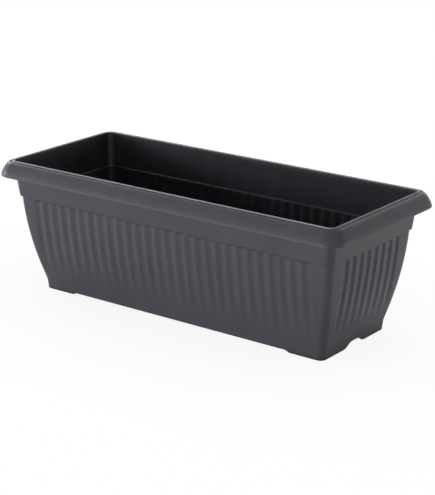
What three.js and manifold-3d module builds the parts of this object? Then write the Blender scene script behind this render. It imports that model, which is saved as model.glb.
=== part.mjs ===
// Window box planter: a fluted trough moulded in one piece, with a turned-down rim and four
// corner feet, and push-in plugs in the drain holes of its floor.
//
// Millimetres, +Z up. X runs along the box and Y across it. The origin is on the ground under
// the middle of the box. A section through the wall is drawn as points (inset, z), where inset
// is the distance inwards from the outermost edge of the rim.

import * as THREE from 'three';
import { mergeVertices } from 'three/addons/utils/BufferGeometryUtils.js';
import Module from 'manifold-3d';

// ---- Driving dimensions ----

// Overall size, over the lips of the rim
const rimLength = 600;
const rimWidth = 260;
const height = 200;

// Wall thicknesses
const wall = 2.4;
const flangeWall = 2.2;
const floorWall = 2.4;
const ledgeWall = 1.9;

// Rim: a bead round the mouth, a valley beside it, and a flange that rolls over to a lip
const beadRadius = 1.3;
const valleyDrop = 2.3;         // below the top of the bead
const valleyWidth = 0.9;        // from the bead to the bottom of the valley
const shoulderInset = 12.6;     // where the flange starts to roll over
const shoulderDrop = 1.7;       // below the top of the bead
const shoulderReach = 3.6;      // how far the shoulder stays nearly level
const shoulderFall = 0.2;       // and how much it falls on the way
const lipLean = 1.1;            // how far in the roll still is where it turns steep
const lipRise = 6.9;            // height of that place above the lip
const flangeDrop = 22;          // from the top of the bead to the underside of the lip
const rimCorner = 28;           // plan radius of the lip; the rim's corners share one centre

// Collar: the plain band under the rim
const stepDrop = 54;            // from the top of the bead to the step under the collar
const collarInset = 23.7;       // at the step
const collarDraft = 0.11;       // leans out by this much for each millimetre up
const collarCorner = 11;

// Body: the fluted wall, bowed outwards and drawn in towards the base
const bodyTopInset = 26.4;
const bodyFootInset = 49.6;
const bodyBow = 3.9;            // how far the wall stands out from the straight line
const bodyCorner = 10;

// Flutes
const longFlutePitch = 17.55;
const endFlutePitch = 18.1;
const fluteWidth = 13;
const fluteDepth = 1.8;
const fluteTopDrop = 2.2;       // from the step to the crown of a flute
const fluteCrownRise = 2;       // how much the crown arches over a flute's width
const fluteEndRun = 1.2;        // height of the sloping end under the crown
const fluteFullHeight = 110;    // above this a flute has its full depth
const fluteFootHeight = 27;     // here it has run out
const runOutPower = 1.5;
const runOutShares = [0, 0.26, 0.6, 1];

// Base: a skirt that carries the box on four corner feet
const floorHeight = 14.5;       // top of the floor, level with the bend of the wall into the skirt
const floorFillet = 6;
const footInset = 51;
const footCorner = 9;
const footLeg = 52;             // length of a foot along the long side
const longArchHeight = 2.9;
const longArchRun = 10;         // length over which an arch curves up from the foot
const endArchHeight = 7.5;
const endArchRun = 22;
const endArchFlat = 10;         // level stretch at the top of the arch

// Ribs under the floor
const ribThickness = 2;
const ribDrop = 4;

// Drain dishes and their holes
const drainColumns = 4;
const drainRows = 2;
const dishRadius = 16;          // at the level of the floor
const dishFloorRadius = 12.5;
const dishDepth = 5;
const drainHoleRadius = 6.3;

// Drain plugs
const plugClearance = 0.3;      // between the shank and its hole
const plugSeatGap = 0.3;        // between the head and the dish
const plugHeadRadius = 10.5;
const plugHeadThickness = 1.6;
const plugBevel = 0.6;
const plugWall = 1.4;
const plugStickOut = 3;         // shank below the dish
const plugTaper = 0.6;
const tabLength = 13;
const tabThickness = 2.6;
const tabTopGap = 0.3;          // tab top below the level of the floor

// Fineness of the curves
const cornerSteps = 6;
const rollSteps = 5;
const lipSteps = 4;
const beadSteps = 4;
const filletSteps = 2;
const outerFluteSteps = 4;
const innerFluteSteps = 3;
const roundSteps = 16;
const archSteps = 5;
const weld = 1;                 // how far joined solids reach into each other

// ---- Worked-out sizes ----

const stepHeight = height - stepDrop;
const ledgeHeight = stepHeight + ledgeWall;
const floorUnderside = floorHeight - floorWall;
const dishFloorHeight = floorHeight - dishDepth;
const dishUnderside = dishFloorHeight - floorWall;

const wasm = await Module();
wasm.setup();

// ---- The sides and corners of the box, anticlockwise from the front ----

const sides = [0, 1, 2, 3].map((quarter) => {
  const outward = new THREE.Vector2(0, -1).rotateAround(new THREE.Vector2(), quarter * Math.PI / 2);
  const along = new THREE.Vector2(1, 0).rotateAround(new THREE.Vector2(), quarter * Math.PI / 2);
  const isLong = quarter % 2 === 0;
  return { outward, along, isLong, halfDepth: (isLong ? rimWidth : rimLength) / 2 };
});

/** Number of flutes that fit on the flat of a side where the flutes run out. */
function fluteCount(side) {
  const halfLength = (side.isLong ? rimLength : rimWidth) / 2;
  const flat = 2 * (halfLength - bodyInset(fluteFootHeight) - bodyCorner);
  const pitch = side.isLong ? longFlutePitch : endFlutePitch;
  return Math.max(0, Math.floor((flat - fluteWidth) / pitch) + 1);
}

/** Stations round the box: the corners and, on a fluted outline, points across each flute. */
function outlineStations(fluteSteps) {
  const stations = [];
  sides.forEach((side, index) => {
    for (let step = 0; step <= cornerSteps; step++) {
      const share = step / cornerSteps;
      stations.push({ side, corner: true, angle: share * Math.PI / 2, across: 1, order: 2 * index + share });
    }
    if (fluteSteps > 0) stations.push(...fluteStations(sides[(index + 1) % 4], 2 * index + 1, fluteSteps));
  });
  return stations;
}

function fluteStations(side, order, fluteSteps) {
  const stations = [];
  const pitch = side.isLong ? longFlutePitch : endFlutePitch;
  const halfLength = (side.isLong ? rimLength : rimWidth) / 2;
  const count = fluteCount(side);
  for (let flute = 0; flute < count; flute++) {
    const centre = (flute - (count - 1) / 2) * pitch;
    for (let step = 0; step <= fluteSteps; step++) {
      const across = 2 * step / fluteSteps - 1;
      const along = centre + across * fluteWidth / 2;
      stations.push({ side, corner: false, along, across, order: order + (along / halfLength + 1) / 2 });
    }
  }
  return stations;
}

const plainOutline = outlineStations(0);
const outerOutline = outlineStations(outerFluteSteps);
const innerOutline = outlineStations(innerFluteSteps);

/** One closed ring of points round the box. zOf and pushOf vary the height and inset of a station. */
function ring(outline, inset, corner, zOf, pushOf = () => 0) {
  return outline.map((station) => {
    const { side } = station;
    const point = new THREE.Vector2();
    if (station.corner) {
      const nextDepth = sides[(sides.indexOf(side) + 1) % 4].halfDepth;
      point.addScaledVector(side.outward, side.halfDepth - inset - corner + corner * Math.cos(station.angle));
      point.addScaledVector(side.along, nextDepth - inset - corner + corner * Math.sin(station.angle));
    } else {
      point.addScaledVector(side.outward, side.halfDepth - inset - pushOf(station));
      point.addScaledVector(side.along, station.along);
    }
    return { x: point.x, y: point.y, z: zOf(station), order: station.order };
  });
}

function levelRing(outline, inset, corner, z, pushOf) {
  return ring(outline, inset, corner, () => z, pushOf);
}

/** Order of the point after one on a ring; past the last point the ring comes round again. */
function orderAfter(points, index) {
  if (index >= points.length) return Infinity;
  return index + 1 < points.length ? points[index + 1].order : 2 * sides.length;
}

/** Joins rings that run up the outside of a solid and down its inside, and caps both ends. */
function skinOf(rings) {
  const positions = [];
  const triangles = [];
  const starts = rings.map((points) => {
    const start = positions.length / 3;
    points.forEach(({ x, y, z }) => positions.push(x, y, z));
    return start;
  });
  for (let level = 0; level + 1 < rings.length; level++) {
    const [lower, upper] = [rings[level], rings[level + 1]];
    const [lowerStart, upperStart] = [starts[level], starts[level + 1]];
    let i = 0;
    let j = 0;
    while (i < lower.length || j < upper.length) {
      const a = lowerStart + i % lower.length;
      const b = upperStart + j % upper.length;
      if (orderAfter(lower, i) <= orderAfter(upper, j)) {
        i++;
        triangles.push(a, lowerStart + i % lower.length, b);
      } else {
        j++;
        triangles.push(a, upperStart + j % upper.length, b);
      }
    }
  }
  const last = rings.length - 1;
  for (let i = 1; i + 1 < rings[0].length; i++) triangles.push(0, i + 1, i);
  for (let i = 1; i + 1 < rings[last].length; i++) {
    triangles.push(starts[last], starts[last] + i, starts[last] + i + 1);
  }
  const geometry = new THREE.BufferGeometry();
  geometry.setAttribute('position', new THREE.Float32BufferAttribute(positions, 3));
  geometry.setIndex(triangles);
  return geometry;
}

// ---- The wall's section ----

/** Inset of the collar's outer face at a height. */
function collarInsetAt(z) {
  return collarInset - collarDraft * (z - stepHeight);
}

/** Inset of the body's outer face between the flutes: a straight line bowed outwards. */
function bodyInset(z) {
  const down = (stepHeight - z) / (stepHeight - floorHeight);
  const straight = THREE.MathUtils.lerp(bodyTopInset, bodyFootInset, down);
  return straight - 4 * bodyBow * down * (1 - down);
}

/** Depth of a flute along its middle at a height, running out towards the base. */
function fluteDepthAt(z) {
  const down = THREE.MathUtils.clamp((fluteFullHeight - z) / (fluteFullHeight - fluteFootHeight), 0, 1);
  return fluteDepth * (1 - down ** runOutPower);
}

/** A flute is round across, so its depth falls off to nothing at its edges. */
function fluteShare(station) {
  return 1 - station.across ** 2;
}

/** Height of the crown that ends a flute at the top, arched across the flute. */
function crownHeight(station) {
  return stepHeight - fluteTopDrop - fluteCrownRise * (1 - Math.sqrt(fluteShare(station)));
}

function footInsetAt(z) {
  return THREE.MathUtils.lerp(footInset, bodyFootInset, z / floorHeight);
}

// ---- Trough ----

function baseRings() {
  return [
    levelRing(plainOutline, footInsetAt(floorUnderside) + wall, footCorner - wall, floorUnderside),
    levelRing(plainOutline, footInset + wall, footCorner - wall, 0),
    levelRing(plainOutline, footInset, footCorner, 0),
    levelRing(plainOutline, bodyFootInset, footCorner, floorHeight),
  ];
}

/** Heights of the rings between a flute's foot and the height where it is full. */
function runOutHeights() {
  return runOutShares.map((share) => THREE.MathUtils.lerp(fluteFootHeight, fluteFullHeight, share));
}

function outerBodyRings() {
  const rings = runOutHeights().map((z) => (
    levelRing(outerOutline, bodyInset(z), bodyCorner, z, (station) => fluteDepthAt(z) * fluteShare(station))
  ));
  const crown = stepHeight - fluteTopDrop;
  const fullDepth = (station) => fluteDepth * fluteShare(station);
  const belowCrown = (station) => crownHeight(station) - fluteEndRun;
  rings.push(ring(outerOutline, bodyInset(crown), bodyCorner, belowCrown, fullDepth));
  rings.push(ring(outerOutline, bodyInset(crown), bodyCorner, crownHeight));
  rings.push(levelRing(outerOutline, bodyTopInset, bodyCorner, stepHeight));
  return rings;
}

function rimRings() {
  const rimRing = ({ x: inset, y: z }) => levelRing(plainOutline, inset, rimCorner - inset, z);
  const shoulder = new THREE.Vector2(shoulderInset, height - shoulderDrop);
  const lipTop = new THREE.Vector2(0, height - flangeDrop + flangeWall / 2);
  const roll = new THREE.CubicBezierCurve(
    shoulder,
    new THREE.Vector2(shoulderInset - shoulderReach, shoulder.y - shoulderFall),
    new THREE.Vector2(lipLean, lipTop.y + lipRise),
    lipTop,
  );
  const outer = roll.getPoints(rollSteps);
  const under = outer.map((point, index) => {
    const tangent = roll.getTangent(index / rollSteps);
    return new THREE.Vector2(point.x - tangent.y * flangeWall, point.y + tangent.x * flangeWall);
  });
  const lipRadius = flangeWall / 2;
  const lip = new THREE.EllipseCurve(lipRadius, lipTop.y, lipRadius, lipRadius, 0, -Math.PI, true);
  const beadCentre = height - beadRadius;
  const beadInset = collarInsetAt(beadCentre) + wall - beadRadius;
  const bead = new THREE.EllipseCurve(beadInset, beadCentre, beadRadius, beadRadius, Math.PI, 0, true);
  const valley = new THREE.Vector2(beadInset - beadRadius - valleyWidth, height - valleyDrop);
  const collarTop = height - valleyDrop - flangeWall;
  return [
    levelRing(plainOutline, collarInset, collarCorner, stepHeight),
    levelRing(plainOutline, collarInsetAt(collarTop), collarCorner, collarTop),
    ...under.slice(0, -1).map(rimRing),
    ...lip.getPoints(lipSteps).map(rimRing),
    ...outer.slice(0, -1).reverse().map(rimRing),
    rimRing(valley),
    ...bead.getPoints(beadSteps).map(rimRing),
    levelRing(plainOutline, collarInsetAt(ledgeHeight) + wall, collarCorner - wall, ledgeHeight),
  ];
}

function innerBodyRings() {
  const heights = [ledgeHeight, ...runOutHeights().filter((_, index) => index !== 1).reverse()];
  return heights.map((z) => (
    levelRing(innerOutline, bodyInset(z) + wall, bodyCorner - wall, z,
      (station) => fluteDepthAt(z) * fluteShare(station))
  ));
}

function floorRings() {
  const top = floorHeight + floorFillet;
  const corner = bodyCorner - wall;
  const curve = new THREE.QuadraticBezierCurve(
    new THREE.Vector2(bodyInset(top) + wall, top),
    new THREE.Vector2(bodyInset(floorHeight) + wall, floorHeight),
    new THREE.Vector2(bodyInset(floorHeight) + wall + floorFillet, floorHeight),
  );
  return curve.getPoints(filletSteps).map(({ x: inset, y: z }) => (
    levelRing(plainOutline, inset, corner, z)
  ));
}

/** Turns a closed geometry into a solid for joining and cutting. */
function solidOf(geometry) {
  const bare = new THREE.BufferGeometry();
  bare.setAttribute('position', geometry.getAttribute('position'));
  if (geometry.index) bare.setIndex(geometry.index);
  const merged = mergeVertices(bare);
  const mesh = new wasm.Mesh({
    numProp: 3,
    vertProperties: new Float32Array(merged.getAttribute('position').array),
    triVerts: new Uint32Array(merged.index.array),
  });
  return new wasm.Manifold(mesh);
}

function geometryOf(solid) {
  const mesh = solid.getMesh();
  const geometry = new THREE.BufferGeometry();
  geometry.setAttribute('position', new THREE.BufferAttribute(mesh.vertProperties, 3));
  geometry.setIndex(new THREE.BufferAttribute(mesh.triVerts, 1));
  geometry.computeVertexNormals();
  return geometry;
}

/** A turned solid from an outline of [radius, z] points that starts and ends on the axis. */
function turned(outline) {
  const points = outline.map(([radius, z]) => new THREE.Vector2(radius, z));
  return new THREE.LatheGeometry(points, roundSteps).rotateX(Math.PI / 2);
}

/** Centres of the drain holes, row by row. */
function drainCentres() {
  const inset = bodyFootInset + wall;
  const columnSpacing = (rimLength - 2 * inset) / drainColumns;
  const rowSpacing = (rimWidth - 2 * inset) / drainRows;
  const centres = [];
  for (let row = 0; row < drainRows; row++) {
    for (let column = 0; column < drainColumns; column++) {
      const x = (column - (drainColumns - 1) / 2) * columnSpacing;
      const y = (row - (drainRows - 1) / 2) * rowSpacing;
      centres.push({ x, y });
    }
  }
  return { centres, columnSpacing };
}

/** The underside of a drain dish, as a plug of solid that the dish is then cut into. */
function dishBlank({ x, y }) {
  return turned([
    [0, dishUnderside],
    [dishFloorRadius + floorWall, dishUnderside],
    [dishRadius + floorWall, floorUnderside],
    [dishRadius + floorWall, floorUnderside + weld],
    [0, floorUnderside + weld],
  ]).translate(x, y, 0);
}

/** The space in a drain dish and its hole. */
function dishSpace({ x, y }) {
  return turned([
    [0, dishUnderside - weld],
    [drainHoleRadius, dishUnderside - weld],
    [drainHoleRadius, dishFloorHeight],
    [dishFloorRadius, dishFloorHeight],
    [dishRadius, floorHeight],
    [dishRadius, floorHeight + weld],
    [0, floorHeight + weld],
  ]).translate(x, y, 0);
}

/** The space under an arch between two feet, drawn in the plane of a side and cut through its skirt. */
function archSpace(halfSpan, run, archHeight, side) {
  const shape = new THREE.Shape();
  shape.moveTo(-halfSpan, -weld);
  shape.lineTo(-halfSpan, 0);
  shape.bezierCurveTo(-halfSpan + run / 2, 0, -halfSpan + run / 2, archHeight, -halfSpan + run, archHeight);
  shape.lineTo(halfSpan - run, archHeight);
  shape.bezierCurveTo(halfSpan - run / 2, archHeight, halfSpan - run / 2, 0, halfSpan, 0);
  shape.lineTo(halfSpan, -weld);
  const inner = side.halfDepth - footInset - wall - weld;
  const depth = side.halfDepth - bodyFootInset + weld - inner;
  const geometry = new THREE.ExtrudeGeometry(shape, { depth, bevelEnabled: false, curveSegments: archSteps });
  geometry.rotateX(Math.PI / 2).rotateZ(side.along.angle());
  return geometry.translate(side.outward.x * inner, side.outward.y * inner, 0);
}

function ribs(columnSpacing) {
  const top = floorUnderside + weld;
  const bottom = floorUnderside - ribDrop;
  const skirtInset = footInsetAt(bottom) + wall - weld;
  const spanX = rimLength - 2 * skirtInset;
  const spanY = rimWidth - 2 * skirtInset;
  const middle = (top + bottom) / 2;
  const solids = [new THREE.BoxGeometry(spanX, ribThickness, top - bottom).translate(0, 0, middle)];
  for (let gap = 1; gap < drainColumns; gap++) {
    const x = (gap - drainColumns / 2) * columnSpacing;
    solids.push(new THREE.BoxGeometry(ribThickness, spanY, top - bottom).translate(x, 0, middle));
  }
  return solids;
}

function troughGeometry() {
  const rings = [
    ...baseRings(), ...outerBodyRings(), ...rimRings(), ...innerBodyRings(), ...floorRings(),
  ];
  const { centres, columnSpacing } = drainCentres();
  let solid = solidOf(skinOf(rings));
  for (const geometry of [...ribs(columnSpacing), ...centres.map(dishBlank)]) {
    solid = solid.add(solidOf(geometry));
  }
  for (const geometry of centres.map(dishSpace)) solid = solid.subtract(solidOf(geometry));
  for (const side of sides) {
    const space = side.isLong
      ? archSpace(rimLength / 2 - footInset - footLeg, longArchRun, longArchHeight, side)
      : archSpace(endArchFlat / 2 + endArchRun, endArchRun, endArchHeight, side);
    solid = solid.subtract(solidOf(space));
  }
  return geometryOf(solid);
}

// ---- Drain plugs ----

/** A plug in its own frame: the underside of its head is at z = 0. */
function plugGeometry() {
  const shank = drainHoleRadius - plugClearance;
  const tip = dishUnderside - plugStickOut - (dishFloorHeight + plugSeatGap);
  const body = turned([
    [0, -plugWall],
    [shank - plugWall, -plugWall],
    [shank - plugWall, tip],
    [shank - plugTaper, tip],
    [shank, tip + plugStickOut],
    [shank, 0],
    [plugHeadRadius, 0],
    [plugHeadRadius, plugHeadThickness - plugBevel],
    [plugHeadRadius - plugBevel, plugHeadThickness],
    [0, plugHeadThickness],
  ]);
  const tabTop = dishDepth - plugSeatGap - tabTopGap;
  const tabBottom = plugHeadThickness - weld;
  const tab = new THREE.Shape();
  tab.moveTo(-tabLength / 2, tabBottom);
  tab.lineTo(tabLength / 2, tabBottom);
  tab.lineTo(tabLength / 2, tabTop - tabThickness / 2);
  tab.lineTo(tabLength / 2 - tabThickness / 2, tabTop);
  tab.lineTo(-tabLength / 2 + tabThickness / 2, tabTop);
  tab.lineTo(-tabLength / 2, tabTop - tabThickness / 2);
  const bar = new THREE.ExtrudeGeometry(tab, { depth: tabThickness, bevelEnabled: false });
  bar.rotateX(Math.PI / 2).translate(0, tabThickness / 2, 0);
  return geometryOf(solidOf(body).add(solidOf(bar)));
}

// ---- Assembly ----

const troughPlastic = new THREE.MeshStandardMaterial({ color: 0x45454a, roughness: 0.55, metalness: 0 });
const plugPlastic = new THREE.MeshStandardMaterial({ color: 0x38383c, roughness: 0.65, metalness: 0 });

const planter = new THREE.Group();

const trough = new THREE.Mesh(troughGeometry(), troughPlastic.clone());
trough.name = 'trough';
planter.add(trough);

const plug = plugGeometry();
drainCentres().centres.forEach(({ x, y }, index) => {
  const mesh = new THREE.Mesh(plug, plugPlastic.clone());
  mesh.name = `drain_plug_${index + 1}`;
  mesh.position.set(x, y, dishFloorHeight + plugSeatGap);
  planter.add(mesh);
});

export default planter;
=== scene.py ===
"""Window box planter: a fluted plastic trough with push-in drain plugs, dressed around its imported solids.

Sizes of the pieces are written in millimetres, as on the drawing of the part, and meshes are made in metres.
A section through the wall is drawn as points (inset, z), where inset is the distance inwards from the
outermost edge of the rim. X runs along the box, Y across it and Z up, from the ground under its middle.
"""

import logging
import math
from dataclasses import dataclass, field
from enum import Enum

import bpy
import numpy as np
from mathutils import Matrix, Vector


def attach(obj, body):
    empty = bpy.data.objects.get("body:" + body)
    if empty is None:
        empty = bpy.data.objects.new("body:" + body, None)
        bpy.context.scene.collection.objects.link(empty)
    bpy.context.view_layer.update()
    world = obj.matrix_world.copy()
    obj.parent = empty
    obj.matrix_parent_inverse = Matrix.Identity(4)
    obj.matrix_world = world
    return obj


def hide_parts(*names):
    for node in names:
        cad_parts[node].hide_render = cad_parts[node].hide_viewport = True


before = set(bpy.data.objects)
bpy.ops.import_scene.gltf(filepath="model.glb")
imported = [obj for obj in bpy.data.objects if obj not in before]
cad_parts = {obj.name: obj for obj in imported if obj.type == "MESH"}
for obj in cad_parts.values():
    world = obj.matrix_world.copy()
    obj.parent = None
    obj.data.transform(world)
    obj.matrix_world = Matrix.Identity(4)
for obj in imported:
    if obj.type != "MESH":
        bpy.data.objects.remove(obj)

MM = 0.001
FULL_TURN = 2 * math.pi
QUARTER_TURN = math.pi / 2
LOG = logging.getLogger("window_box")

Row = np.ndarray
Number = np.ndarray | float
Span = tuple[float, float]
Point = tuple[float, float, float]
Colour = tuple[float, float, float]
Piece = bpy.types.Object
Socket = bpy.types.NodeSocket

WHITE = (1.0, 1.0, 1.0, 1.0)
ANTHRACITE: Colour = (0.0850, 0.0832, 0.1040)
PLUG_BLACK: Colour = (0.030, 0.030, 0.033)


class Cut(Enum):
    """How a tool changes a solid."""

    ADD = "UNION"
    TAKE = "DIFFERENCE"


class Blend(Enum):
    """How the second colour of a mix meets the first."""

    COVER = "MIX"
    SHADE = "MULTIPLY"


class Calc(Enum):
    """What a node works out from its two numbers."""

    ADD = "ADD"
    TAKE = "SUBTRACT"
    TIMES = "MULTIPLY"
    LEAST = "MINIMUM"
    MOST = "MAXIMUM"
    SIZE = "ABSOLUTE"


class Output(Enum):
    """What a graph's shader shows on."""

    SURFACE = "OutputMaterial"
    SURROUND = "OutputWorld"


class Side(Enum):
    """The four sides of the box, anticlockwise from the front, as quarter turns."""

    FRONT = 0
    RIGHT = 1
    BACK = 2
    LEFT = 3

    @property
    def is_long(self) -> bool:
        """True for the front and the back."""
        return self in (Side.FRONT, Side.BACK)

    @property
    def after(self) -> "Side":
        """The next side, anticlockwise."""
        return Side((self.value + 1) % len(Side))


# ---- Drawing tools ----

# The most of a flat that the fillet at one end of it takes up, as a share of the flat.
FILLET_LIMIT = 0.45


@dataclass(frozen=True)
class Bend:
    """One corner of a section: where it is, how round the plan is there, and its own fillet."""

    inset: float
    z: float
    plan: float = 0.0
    fillet: float = 0.0


def round_off(start: Row, corner: Row, end: Row, share: float) -> Row:
    """A point on the curve that rounds a corner off."""
    return start * (1 - share) ** 2 + 2 * corner * share * (1 - share) + end * share ** 2


def rounded(bends: list[Bend], steps: int = 5, support: float = 0.5) -> Row:
    """Rounds the corners of a section.

    Args:
        bends: the corners, in order.
        steps: pieces in each fillet.
        support: how far past a fillet a further point holds the flat beside it, in millimetres.

    Returns:
        Rows of inset, z and plan radius.
    """
    points = np.array([(b.inset, b.z, b.plan) for b in bends])
    rows = [points[0]]
    for index in range(1, len(bends) - 1):
        here = points[index]
        if bends[index].fillet <= 0:
            rows.append(here)
            continue
        back, ahead = points[index - 1] - here, points[index + 1] - here
        back_run, ahead_run = np.hypot(*back[:2]), np.hypot(*ahead[:2])
        cosine = np.dot(back[:2], ahead[:2]) / (back_run * ahead_run)
        half_angle = math.acos(max(-1.0, min(1.0, cosine))) / 2
        reach = bends[index].fillet / math.tan(half_angle)
        near = min(reach, FILLET_LIMIT * back_run, FILLET_LIMIT * ahead_run)
        start, end = here + back * near / back_run, here + ahead * near / ahead_run
        if near + 2 * support < back_run / 2:
            rows.append(here + back * (near + support) / back_run)
        for share in np.linspace(0, 1, steps + 1):
            rows.append(round_off(start, here, end, share))
        if near + 2 * support < ahead_run / 2:
            rows.append(here + ahead * (near + support) / ahead_run)
    rows.append(points[-1])
    return np.array(rows)


def bezier(a: Row, b: Row, c: Row, d: Row, shares: Row) -> tuple[Row, Row]:
    """Points and unit tangents of a cubic curve.

    Args:
        a: start.
        b: first control point.
        c: second control point.
        d: end.
        shares: places along the curve, from 0 to 1.

    Returns:
        The points and the tangents, one row for each share.
    """
    t = shares[:, None]
    points = a * (1 - t) ** 3 + 3 * b * t * (1 - t) ** 2 + 3 * c * t ** 2 * (1 - t) + d * t ** 3
    tangents = (b - a) * (1 - t) ** 2 + 2 * (c - b) * t * (1 - t) + (d - c) * t ** 2
    return points, tangents / np.linalg.norm(tangents, axis=1)[:, None]


def ease(share: Number) -> Number:
    """A smooth rise from 0 to 1."""
    return share * share * (3 - 2 * share)


@dataclass
class Shell:
    """A closed skin that is laid ring by ring, with its points numbered from base."""

    base: int = 0
    points: list[Row] = field(default_factory=list)
    faces: list[tuple[int, ...]] = field(default_factory=list)
    last: tuple[int, Row] | None = None
    count: int = field(init=False)

    def __post_init__(self) -> None:
        """Starts the numbers of the points."""
        self.count = self.base

    def lay(self, ring: Row, order: Row) -> None:
        """Adds a closed ring and joins it to the one before.

        Args:
            ring: points of the ring.
            order: place of each point round the ring, rising.
        """
        start = self.count
        self.points.append(ring)
        self.count += len(ring)
        if self.last is not None:
            below, below_order = self.last
            if len(below_order) == len(order) and np.array_equal(below_order, order):
                self._join_alike(below, start, len(order))
            else:
                self._join_unlike(below, below_order, start, order)
        self.last = (start, order)

    def _join_alike(self, lower: int, upper: int, size: int) -> None:
        """Joins two rings of the same stations with four-sided faces.

        Args:
            lower: number of the lower ring's first point.
            upper: number of the upper ring's first point.
            size: points in each ring.
        """
        for i in range(size):
            after = (i + 1) % size
            self.faces.append((lower + i, lower + after, upper + after, upper + i))

    def _join_unlike(self, lower: int, lower_order: Row, upper: int, upper_order: Row) -> None:
        """Joins two rings of different stations with triangles, in their order round the ring.

        Args:
            lower: number of the lower ring's first point.
            lower_order: place of each of its points round the ring.
            upper: number of the upper ring's first point.
            upper_order: place of each of its points round the ring.
        """
        rise = [list(lower_order[1:]) + [math.inf], list(upper_order[1:]) + [math.inf]]
        sizes = (len(lower_order), len(upper_order))
        i = j = 0
        while i < sizes[0] or j < sizes[1]:
            a, b = lower + i % sizes[0], upper + j % sizes[1]
            next_lower = rise[0][i] if i < sizes[0] else math.inf
            next_upper = rise[1][j] if j < sizes[1] else math.inf
            if j >= sizes[1] or (i < sizes[0] and next_lower <= next_upper):
                i += 1
                self.faces.append((a, lower + i % sizes[0], b))
            else:
                j += 1
                self.faces.append((a, upper + j % sizes[1], b))

    def close(self) -> None:
        """Closes the first ring and the last with a flat face each."""
        self.faces.append(tuple(self.base + i for i in reversed(range(len(self.points[0])))))
        self.faces.append(tuple(range(self.last[0], self.count)))

    def take_in(self, other: "Shell") -> None:
        """Takes in a skin whose points are numbered on from this one's.

        Args:
            other: the skin.
        """
        self.points += other.points
        self.faces += other.faces
        self.count = other.count

    def made(self, name: str) -> Piece:
        """Makes the object.

        Args:
            name: its name.

        Returns:
            The object, in metres and in the scene.
        """
        mesh = bpy.data.meshes.new(name)
        mesh.from_pydata((np.concatenate(self.points) * MM).tolist(), [], self.faces)
        mesh.validate()
        made = bpy.data.objects.new(name, mesh)
        bpy.context.scene.collection.objects.link(made)
        return made


def turned(name: str, outline: Row, centres: list[Point], steps: int) -> Piece:
    """Turns an outline round an upright axis, once at each centre.

    Args:
        name: name of the object.
        outline: rows of radius and z, from the axis round to the axis again.
        centres: where the axes stand, in millimetres.
        steps: points round each ring.

    Returns:
        One object that holds all the turned solids.
    """
    angles = np.linspace(0, FULL_TURN, steps, endpoint=False)
    whole = Shell()
    for x, y, z in centres:
        solid = Shell(base=whole.count)
        for radius, level in outline[1:-1]:
            ring = np.stack([x + radius * np.cos(angles), y + radius * np.sin(angles)], axis=1)
            solid.lay(np.column_stack([ring, np.full(steps, z + level)]), angles)
        solid.close()
        whole.take_in(solid)
    return whole.made(name)


def prism(name: str, section: Row, start: Vector, end: Vector, across: Vector) -> Piece:
    """Draws a straight level bar.

    Args:
        name: name of the object.
        section: corners of the bar's section, anticlockwise as seen from its end.
        start: where the bar starts, in millimetres.
        end: where it ends.
        across: direction of the section's first number; the second goes up.

    Returns:
        The bar.
    """
    bar = Shell()
    up = Vector((0, 0, 1))
    order = np.arange(len(section), dtype=float)
    for place in (start, end):
        bar.lay(np.array([place + across * u + up * v for u, v in section]), order)
    bar.close()
    return bar.made(name)


def cut(target: Piece, tool: Piece, way: Cut) -> None:
    """Joins a tool to a solid or takes it away, and removes the tool.

    Args:
        target: the solid that is changed.
        tool: the solid that changes it.
        way: what is done with it.
    """
    modifier = target.modifiers.new(way.name, "BOOLEAN")
    modifier.operation = way.value
    modifier.solver = "MANIFOLD"
    modifier.object = tool
    graph = bpy.context.evaluated_depsgraph_get()
    result = bpy.data.meshes.new_from_object(target.evaluated_get(graph))
    target.modifiers.clear()
    old, target.data = target.data, result
    name = old.name
    bpy.data.meshes.remove(old)
    result.name = name
    bpy.data.objects.remove(tool)


def smooth(piece: Piece, crease: float) -> None:
    """Shades a piece smooth, apart from edges sharper than crease degrees."""
    piece.data.shade_smooth()
    piece.data.set_sharp_from_angle(angle=math.radians(crease))


# ---- Finishes ----

# Sockets that share their name with others on the same node, by number.
RANGE_ENDS = (1, 2, 3, 4)
MIX_FIRST = 6
MIX_SECOND = 7
MIX_RESULT = 2


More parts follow.
